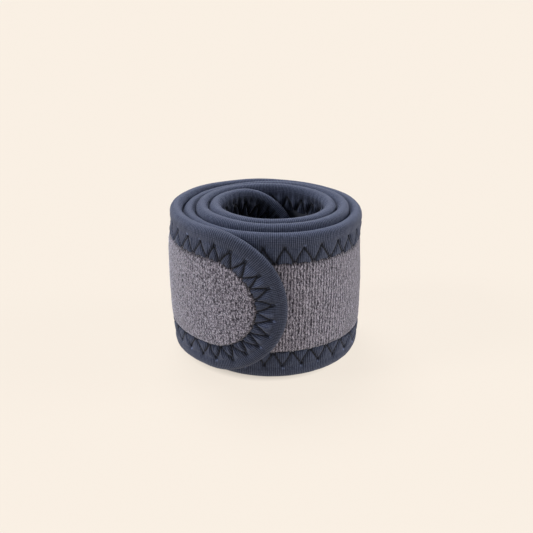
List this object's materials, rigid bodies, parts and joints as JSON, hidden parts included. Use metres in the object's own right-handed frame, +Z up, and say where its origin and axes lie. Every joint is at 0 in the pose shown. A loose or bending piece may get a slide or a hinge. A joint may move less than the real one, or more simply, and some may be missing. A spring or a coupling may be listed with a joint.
{
  "type": "wrist splint",
  "caption": "Rolled-up soft wrist splint strap: foam strip with looped outer face, bound and zigzag-stitched edge, half-round ends, and a hook patch under the outer end that peels open.",
  "frame": {"origin": "on the surface the roll stands on, under the middle of the roll's outline", "axes": "+Z up along the roll's axis; the rounded outer end lies on the -Y side, and +X is to its right when it is seen from -Y"},
  "size_m": [0.0656, 0.0678, 0.0514],
  "materials": {
    "pile": "brushed loop pile",
    "lining": "fine warp knit",
    "edge_tape": "fine stretch knit, slight sheen",
    "neoprene": "matt closed-cell foam",
    "thread": "twisted polyester",
    "hook": "matt nylon hooks"
  },
  "bodies": {
    "coil": {"coil_lining": "lining", "coil_neoprene": "neoprene", "coil_pile": "pile", "coil_upper_tape": "edge_tape", "coil_lower_tape": "edge_tape", "inner_end_tape": "edge_tape", "coil_zigzag_thread": "thread"},
    "fold_b": {"fold_b_lining": "lining", "fold_b_neoprene": "neoprene", "fold_b_pile": "pile", "fold_b_upper_tape": "edge_tape", "fold_b_lower_tape": "edge_tape", "fold_b_upper_zigzag": "thread", "fold_b_lower_zigzag": "thread"},
    "fold_a": {"fold_a_lining": "lining", "fold_a_neoprene": "neoprene", "fold_a_pile": "pile", "fold_a_upper_tape": "edge_tape", "fold_a_lower_tape": "edge_tape", "fold_a_upper_zigzag": "thread", "fold_a_lower_zigzag": "thread"},
    "tab": {"tab_lining": "lining", "tab_neoprene": "neoprene", "tab_pile": "pile", "tab_edge_tape": "edge_tape", "tab_zigzag_thread": "thread", "hook_patch": "hook", "hook_patch_seam": "thread"}
  },
  "joints": [
    {"name": "root_peel", "type": "hinge", "parent": "coil", "child": "fold_b", "pos_m": [-0.01157, 0.03169, 0.025], "axis": [0, 0, -1], "range_deg": [0, 60]},
    {"name": "middle_peel", "type": "hinge", "parent": "fold_b", "child": "fold_a", "pos_m": [-0.03066, 0.01236, 0.025], "axis": [0, 0, -1], "range_deg": [0, 60]},
    {"name": "tab_peel", "type": "hinge", "parent": "fold_a", "child": "tab", "pos_m": [-0.02902, -0.01524, 0.025], "axis": [0, 0, -1], "range_deg": [0, 75]}
  ]
}
